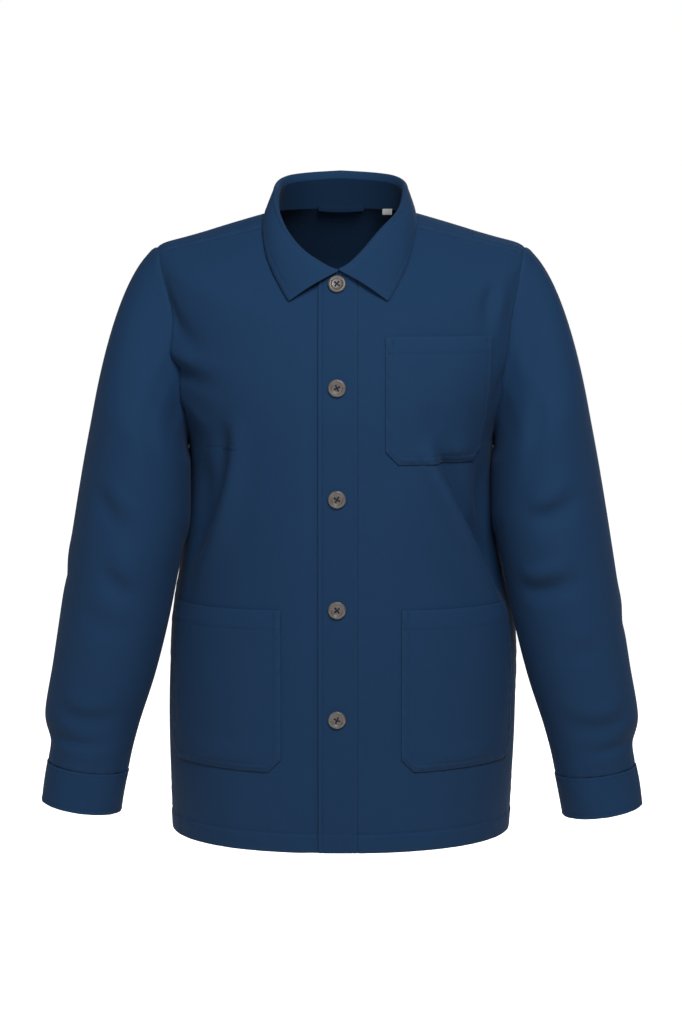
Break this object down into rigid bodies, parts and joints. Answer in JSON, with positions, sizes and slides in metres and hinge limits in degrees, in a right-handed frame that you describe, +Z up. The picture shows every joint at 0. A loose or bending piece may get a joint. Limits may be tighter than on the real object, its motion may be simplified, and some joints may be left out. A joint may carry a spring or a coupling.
{
  "type": "chore jacket",
  "caption": "Buttoned cotton-twill chore jacket, filled out as if worn: pointed roll collar, front band, patch chest and hip pockets, cuffed sleeves, hanger loop",
  "frame": {"origin": "Base of the neck, midway between the two shoulder seams' neck ends: where a wearer's shoulders carry the jacket", "axes": "+X to the wearer's left, -Y to the front, +Z up; the jacket is close to symmetric across X and is tallest along Z"},
  "size_m": [0.7097, 0.3064, 0.7791],
  "materials": {
    "twill": "matte",
    "button": "semi-gloss",
    "label": "matte"
  },
  "bodies": {
    "root": {"back": "twill", "front_right": "twill", "front_left": "twill", "front_placket": "twill", "sleeve_left": "twill", "sleeve_right": "twill", "cuff_left": "twill", "cuff_right": "twill", "collar_stand": "twill", "collar_fall": "twill", "chest_pocket": "twill", "pocket_left": "twill", "pocket_right": "twill", "hanger_loop": "twill", "neck_label": "label", "button_1": "button", "button_2": "button", "button_3": "button", "button_4": "button", "button_5": "button"}
  },
  "joints": []
}
